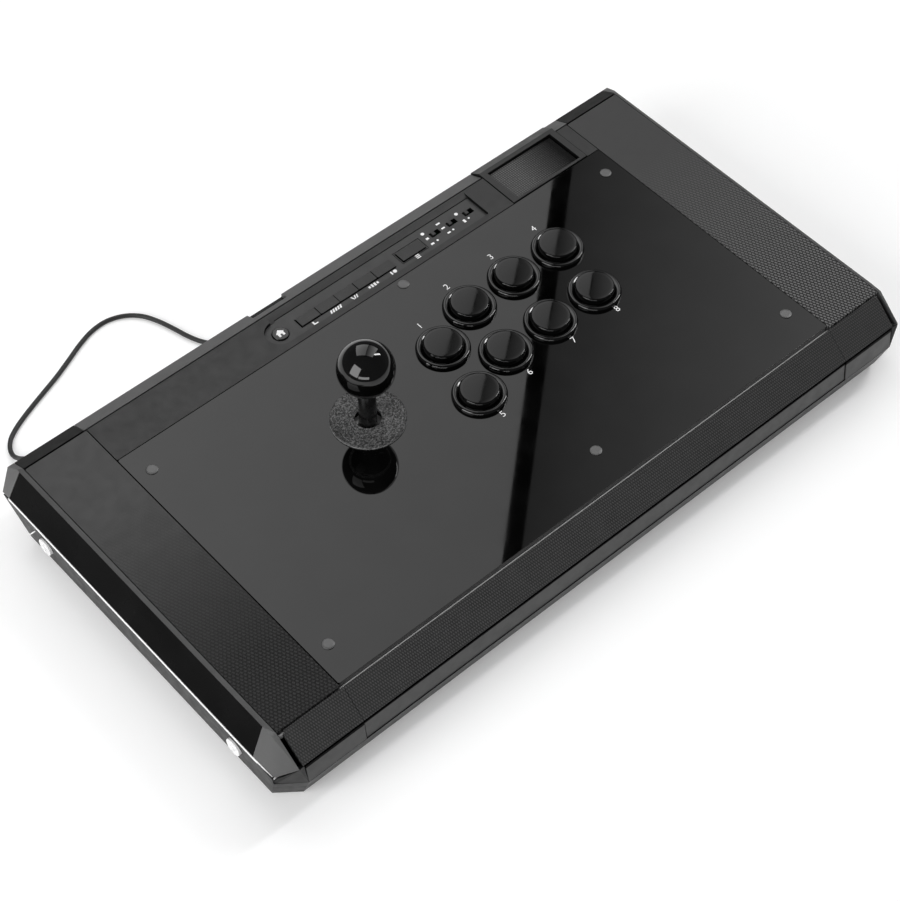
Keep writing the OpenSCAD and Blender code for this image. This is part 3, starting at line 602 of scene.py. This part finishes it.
def make_buttons():
    rims = [turned_mesh("rim", RIM_PROFILE, (c.x, c.y), close=True) for c in BUTTONS]
    rims = add_piece("button_rims", join_meshes("button_rims", rims), "button_housings")
    smooth_shading(rims, 40)
    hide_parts("button_housings")
    for i, c in enumerate(BUTTONS, 1):
        node = f"play_button_{i}"
        top_z = (Vector(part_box(node)[1]) - DECK).z / MM
        mesh = turned_mesh(node + "_top", plunger_profile(top_z), (c.x, c.y))
        piece = add_piece(node + "_top", mesh, node)
        smooth_shading(piece, 40)
        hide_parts(node)


make_buttons()


# ---------------------------------------------------------------- stick
STICK = middle("ball_top")
BALL_R = 17.0
BALL_HOLE_R = 5.4
BALL_Z = (Vector(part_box("ball_top")[1]) - DECK).z / MM - BALL_R


def make_stick():
    hole = math.degrees(math.asin(BALL_HOLE_R / BALL_R))
    ball = [(0, BALL_Z + BALL_R)] + arc(0, BALL_Z, BALL_R, 87, -90 + hole, 60)
    ball += [(3.1, ball[-1][1] + 0.3), (3.1, BALL_Z - 5), (0, BALL_Z - 5)]
    sleeve_top = BALL_Z - 16.75
    sleeve = [(4.03, -5), (5, -5), (5.25, -4.7), (5.25, sleeve_top - 0.3), (5, sleeve_top),
        (4.03, sleeve_top)]
    washer = ([(7.9, 0.05), (7.9, 1.1)] + arc(8.35, 1.1, 0.45, 180, 20, 5) + [(9.2, 1.1), (14, 1.0),
        (20.8, 1.05)] + arc(21.9, 1.0, 0.5, 150, 60, 4) + arc(22.15, 0.7, 0.45, 60, 0, 3)
        + [(22.6, 0.05)])
    for node, profile, closed in (("ball_top", ball, False), ("shaft_sleeve", sleeve, True),
            ("dust_washer", washer, True)):
        piece = add_piece(node + "_turned", turned_mesh(node, profile, (STICK.x, STICK.y), 128,
            closed), node)
        smooth_shading(piece, 40)
        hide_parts(node)


make_stick()


# ---------------------------------------------------------------- screws and feet
DECK_SCREWS = [(-177.6, 66.5), (177.6, 66.5), (-177, -89.7), (177, -89.7), (20.5, -89.6),
    (20.8, 79.3)]
BOSSES = [(x, y) for x in (-200, -105, 105, 200) for y in (-106, 96)]
FEET = [(x, y) for x in (-222, 0, 222) for y in (-104, 92)]
FOOT_H = 4


def make_fixings():
    """Flat screws of the cover, socket screws in the bottom and the feet, from outlines."""
    disc = [(0, -9.4), (1.55, -9.4), (1.55, 0), (3.4, 0), (3.6, 0.1), (3.6, 0.3), (3.3, 0.5),
        (2.2, 0.58), (1.2, 0.52), (0, 0.5)]
    low = GROUND + FOOT_H
    socket = [(0, low + 9), (1.35, low + 9), (1.35, low), (3, low), (3.2, low - 0.2),
        (3.1, low - 1), (2.5, low - 1.5), (1.4, low - 1.6), (1.2, low - 0.6), (0, low - 0.6)]
    foot = [(0, low), (8.9, low), (9, low - 0.2), (9, low - 3.2), (8.7, low - 3.8),
        (8.2, low - 4), (6.6, low - 4), (6.2, low - 3.7), (0, low - 3.7)]
    for node, places, profile in (("panel_screws", DECK_SCREWS, disc),
            ("bottom_screws", BOSSES, socket), ("rubber_feet", FEET, foot)):
        meshes = [turned_mesh(node, profile, p, 48) for p in places]
        piece = add_piece(node + "_turned", join_meshes(node, meshes), node)
        smooth_shading(piece, 30)
        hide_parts(node)


make_fixings()


# ---------------------------------------------------------------- printed marks
NUMBER_PLACES = [(6.4, 47.5), (38.9, 60.3), (75.3, 61.1), (110.9, 61), (-1.4, -34.8),
    (31.6, -21.8), (67.8, -20.8), (104.1, -20.2)]
NUMBER_SIZE = 6.2
NUMBER_Z = 0.02
KEY_MARK_Y, KEY_MARK_Z = 92.2, -1.98
HOUSE_X, HOUSE_Y, HOUSE_Z = -58.9, 98.7, -1.08


def text_mesh(name, text, size):
    data = bpy.data.curves.new(name, "FONT")
    data.body = text
    data.size = size * MM
    data.align_x = "CENTER"
    data.align_y = "CENTER"
    data.extrude = PRINT_T / 2 * MM
    holder = bpy.data.objects.new(name, data)
    scene.collection.objects.link(holder)
    bpy.context.view_layer.update()
    mesh = bpy.data.meshes.new_from_object(holder)
    bpy.data.objects.remove(holder)
    return mesh


def block(x, y, w, h, slant=0.0):
    """Outline of a bar, with its top shifted sideways by slant."""
    return [(x - w / 2 - slant / 2, y - h / 2), (x + w / 2 - slant / 2, y - h / 2),
        (x + w / 2 + slant / 2, y + h / 2), (x - w / 2 + slant / 2, y + h / 2)]


def dot(x, y, r, steps=20):
    return [(x + r * math.cos(2 * math.pi * k / steps), y + r * math.sin(2 * math.pi * k / steps))
        for k in range(steps)]


def make_marks():
    """Numbers by the play buttons, plain marks by the keys and a house on the home button."""
    meshes = []
    for i, (x, y) in enumerate(NUMBER_PLACES, 1):
        mesh = text_mesh("number", str(i), NUMBER_SIZE)
        mesh.transform(Matrix.Translation(at(x, y, NUMBER_Z)))
        meshes.append(mesh)
    add_piece("button_numbers", join_meshes("button_numbers", meshes), "acrylic_cover", PRINT)
    y = KEY_MARK_Y
    marks = [block(-38.6, y, 1.1, 2.6), block(-37, y - 0.9, 2.2, 0.8)]
    marks += [block(x, y, 1.1, 2.4, 1) for x in (-25, -23.2, -21.4, -19.6, -17.8)]
    marks += [block(-8.4, y, 0.8, 2.6, -1), block(-6.6, y, 0.8, 2.6, 1), block(-5, y, 0.8, 2.6, 1)]
    marks += [block(x, y, 1.3, h) for x, h in ((4.9, 1.6), (7, 2.4), (9.1, 2.4), (11.2, 1.6))]
    marks += [block(22.4, y, 1, 2.6), dot(25, y, 1.3)]
    marks += [block(43.6, y + s, 3, 0.7) for s in (-1.2, 0, 1.2)]
    marks += [dot(57.6, 104.4, 1.2), block(57.4, 99.4, 2, 1.6), block(57.2, 94.2, 2.4, 1.4),
        dot(61.4, 94.4, 0.7), block(70.4, 104.6, 3, 1.2), block(70.6, 99.8, 2.6, 1.2),
        block(71, 94.6, 2.4, 1.2), dot(74.6, 94.8, 0.7), dot(84.4, 103.4, 1.2),
        block(84.6, 95.6, 1.6, 2.6), dot(88.2, 95.8, 0.7)]
    add_piece("function_marks", sheet_mesh("function_marks", marks, KEY_MARK_Z),
        "function_panel", PRINT)
    x, y = HOUSE_X, HOUSE_Y
    house = [(x - 2.2, y - 2.4), (x - 0.7, y - 2.4), (x - 0.7, y - 0.6), (x + 0.7, y - 0.6),
        (x + 0.7, y - 2.4), (x + 2.2, y - 2.4), (x + 2.2, y + 0.4), (x + 3, y + 0.4), (x, y + 3),
        (x - 3, y + 0.4), (x - 2.2, y + 0.4)]
    add_piece("home_mark", sheet_mesh("home_mark", [house], HOUSE_Z), "home_button", PRINT)


make_marks()


# ---------------------------------------------------------------- case seams
BEAD_TOP, BEAD_FOOT = (242.7, 96.5, -31.5), (240.2, 109.6, -50.5)
BEAD_SECTION = [(-0.8, -0.5), (0.15, -0.4), (0.15, 0.4), (-0.8, 0.5)]


def make_seams():
    """A narrow slanting bead low on each side of the case, near the back."""
    for side, name in ((-1, "left_seam"), (1, "right_seam")):
        bm = bmesh.new()
        rings = []
        for x, y, z in (BEAD_TOP, BEAD_FOOT):
            rings.append([bm.verts.new(at(side * (x + dx), y + dy, z)) for dx, dy in BEAD_SECTION])
        for k in range(4):
            bm.faces.new([rings[0][k], rings[1][k], rings[1][(k + 1) % 4], rings[0][(k + 1) % 4]])
        bm.faces.new(rings[0])
        bm.faces.new(rings[1])
        add_piece(name, outward_mesh(name, bm), "light_strips")


make_seams()


# ---------------------------------------------------------------- lead's fittings
RELIEF_SEGMENTS = 48
RELIEF_GROOVES = 6
TIE_X, TIE_W, TIE_R, TIE_T = -10, 7, 3, 0.8
PLUG_SHELL = 19.2


def tie_mesh(name, x, width, low, high, radius, thickness):
    """A flat strap looped round the hank: a rounded rectangle in Y and Z, extruded along X."""
    outline = []
    for cy, cz, start in ((high[0], high[1], 0), (low[0], high[1], 90), (low[0], low[1], 180),
            (high[0], low[1], 270)):
        for i in range(7):
            a = math.radians(start + i * 15)
            sy = radius if cy == low[0] else -radius
            sz = radius if cz == low[1] else -radius
            outline.append((cy + sy, cz + sz, math.cos(a), math.sin(a)))
    bm = bmesh.new()
    rings = []
    for dx, r in ((-width / 2, radius - thickness), (-width / 2, radius),
            (width / 2, radius), (width / 2, radius - thickness)):
        rings.append([bm.verts.new(at(x + dx, y + r * c, z + r * s)) for y, z, c, s in outline])
    count = len(outline)
    for a, b in zip(rings, rings[1:] + rings[:1]):
        for k in range(count):
            n = (k + 1) % count
            bm.faces.new([a[k], a[n], b[n], b[k]])
    return outward_mesh(name, bm)


def relief_mesh(name, profile, x, z):
    """A closed mesh turned from (y, radius) points about a line along Y."""
    bm = bmesh.new()
    rings = []
    angles = [2 * math.pi * k / RELIEF_SEGMENTS for k in range(RELIEF_SEGMENTS)]
    for y, r in profile:
        rings.append([bm.verts.new(at(x + r * math.cos(a), y, z + r * math.sin(a)))
            for a in angles])
    for a, b in zip(rings, rings[1:]):
        for k in range(RELIEF_SEGMENTS):
            n = (k + 1) % RELIEF_SEGMENTS
            bm.faces.new([a[k], b[k], b[n], a[n]])
    bm.faces.new(rings[0])
    bm.faces.new(rings[-1])
    return outward_mesh(name, bm)


def make_fittings():
    # strain relief: a flange inside and out, then a tapered sleeve with grooves
    profile = [(108, 5.6), (108.2, 5.8), (110, 5.8), (110, 4.1), (121.5, 4.1), (121.5, 5.3),
        (123.2, 5.4), (123.6, 5), (123.8, 3.8)]
    for i in range(RELIEF_GROOVES):
        y, r = 124.6 + i * 2.6, 3.7 - i * 0.22
        profile += [(y, r), (y + 1.5, r - 0.1), (y + 1.6, r - 0.8), (y + 2.4, r - 0.85)]
    profile += [(140.4, 2.35), (141.6, 2.25), (142, 2)]
    exit_x, _, exit_z = LEAD_ROUTE[0]
    relief = add_piece("strain_relief", relief_mesh("strain_relief", profile, exit_x, exit_z),
        "cable_gland")
    smooth_shading(relief, 30)
    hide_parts("cable_gland")
    bundle_low, bundle_high = (117.2, GROUND), (154.2, GROUND + HANK_LAYERS * LEAD_D + TIE_T)
    tie = tie_mesh("lead_tie", TIE_X, TIE_W, bundle_low, bundle_high, TIE_R, TIE_T)
    tie = add_piece("lead_tie", tie, "usb_hank")
    smooth_shading(tie, 30)
    plug = refine("usb_plug", 0.6, 3)
    plug.data.materials.append(PLUG_METAL)
    metal_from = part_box("usb_plug")[1][0] - PLUG_SHELL * MM
    for face in plug.data.polygons:
        if face.center.x > metal_from:
            face.material_index = 1
    return relief, tie, plug


relief, tie, plug = make_fittings()
lead.data.materials.append(MATERIALS["lead_jacket"])
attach(lead, "case")
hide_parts("usb_cord", "usb_hank")


# ---------------------------------------------------------------- studio
def card(name, azimuth, elevation, distance, width, height, radiance, glossy=True):
    """A softbox of the given radiance, placed round the top face and turned to it. Angles
    are in degrees and lengths in metres."""
    a, e = math.radians(azimuth), math.radians(elevation)
    out = Vector((math.cos(e) * math.cos(a), math.cos(e) * math.sin(a), math.sin(e)))
    light = bpy.data.lights.new(name, "AREA")
    light.shape = "RECTANGLE"
    light.size, light.size_y = width, height
    light.energy = radiance * math.pi * width * height
    obj = bpy.data.objects.new(name, light)
    obj.location = DECK + out * distance
    obj.rotation_euler = (-out).to_track_quat("-Z", "Y").to_euler()
    obj.visible_camera = False
    obj.visible_glossy = glossy
    scene.collection.objects.link(obj)


def make_floor():
    size = 6.0
    mesh = bpy.data.meshes.new("floor")
    mesh.from_pydata([(-size, -size, 0), (size, -size, 0), (size, size, 0), (-size, size, 0)], [],
        [(0, 1, 2, 3)])
    floor = bpy.data.objects.new("floor", mesh)
    floor.location.z = cad_box[0][2]
    finish = Finish("floor", 0.85, 0.8)
    finish.shader.inputs["Emission Color"].default_value = (1, 1, 1, 1)
    finish.shader.inputs["Emission Strength"].default_value = 0.2
    mesh.materials.append(finish.material)
    scene.collection.objects.link(floor)


# The gap between two glowing panels shows in the gloss cover as a dark band. The panels are
# laid out from the camera's mirror image below the top face: GAP_AIM points up from it to the
# gap, GAP_SIDE goes across the gap and GAP_UP along it.
MIRROR = at(CAMERA_X, CAMERA_Y, -CAMERA_Z)
GAP_SIDE = Vector((0.660, -0.750, 0.050)).normalized()
GAP_AIM = Vector((0.42, 0.42, 0.80))
GAP_AIM = (GAP_AIM - GAP_AIM.project(GAP_SIDE)).normalized()
GAP_UP = GAP_AIM.cross(GAP_SIDE).normalized()


def panel(name, near, far, low, high, distance, glow_near, glow_far):
    """A flat panel seen only by the surfaces: from near to far sideways of the gap and from
    low to high along it, in metres, glowing from one strength to another."""
    middle_point = MIRROR + GAP_AIM * distance
    corners = [middle_point + GAP_SIDE * a + GAP_UP * b
        for a, b in ((near, low), (far, low), (far, high), (near, high))]
    mesh = bpy.data.meshes.new(name)
    mesh.from_pydata([tuple(c) for c in corners], [], [(0, 1, 2, 3)])
    obj = bpy.data.objects.new(name, mesh)
    finish = Finish(name, 0.0, 1.0, specular=0.0)
    across = finish.node("ShaderNodeVectorMath", finish.place, tuple(GAP_SIDE),
        operation="DOT_PRODUCT")
    start, end = (middle_point + GAP_SIDE * a for a in (near, far))
    glow = finish.ramp(across.node.outputs["Value"], start.dot(GAP_SIDE), end.dot(GAP_SIDE),
        glow_near, glow_far)
    finish.shader.inputs["Emission Color"].default_value = (1, 1, 1, 1)
    finish.links.new(glow, finish.shader.inputs["Emission Strength"])
    mesh.materials.append(finish.material)
    scene.collection.objects.link(obj)
    obj.visible_camera = False
    obj.visible_shadow = False


def make_studio():
    world = bpy.data.worlds.new("studio")
    world.use_nodes = True
    world.node_tree.nodes["Background"].inputs["Color"].default_value = (0.9, 0.9, 0.92, 1)
    world.node_tree.nodes["Background"].inputs["Strength"].default_value = 0.12
    scene.world = world
    panel("card_left", -0.032, -1.5, -1.1, 1.3, 3.7, 1.45, 2.5)
    panel("card_right", -0.002, 1.2, -1.1, 1.3, 3.7, 0.3, 2.5)
    panel("flag", 0.3, -0.3, -1.4, 1.6, 3.8, 0, 0)
    card("window_left", 183, 30, 2.2, 1.3, 1.5, 5)
    card("strip_right", -6, 44, 2.2, 0.2, 0.9, 20)
    card("low_left", 222, 14, 2.2, 1.5, 0.35, 5)
    card("overhead", -90, 80, 2.6, 3.0, 3.0, 0.5, glossy=False)


make_floor()
make_studio()
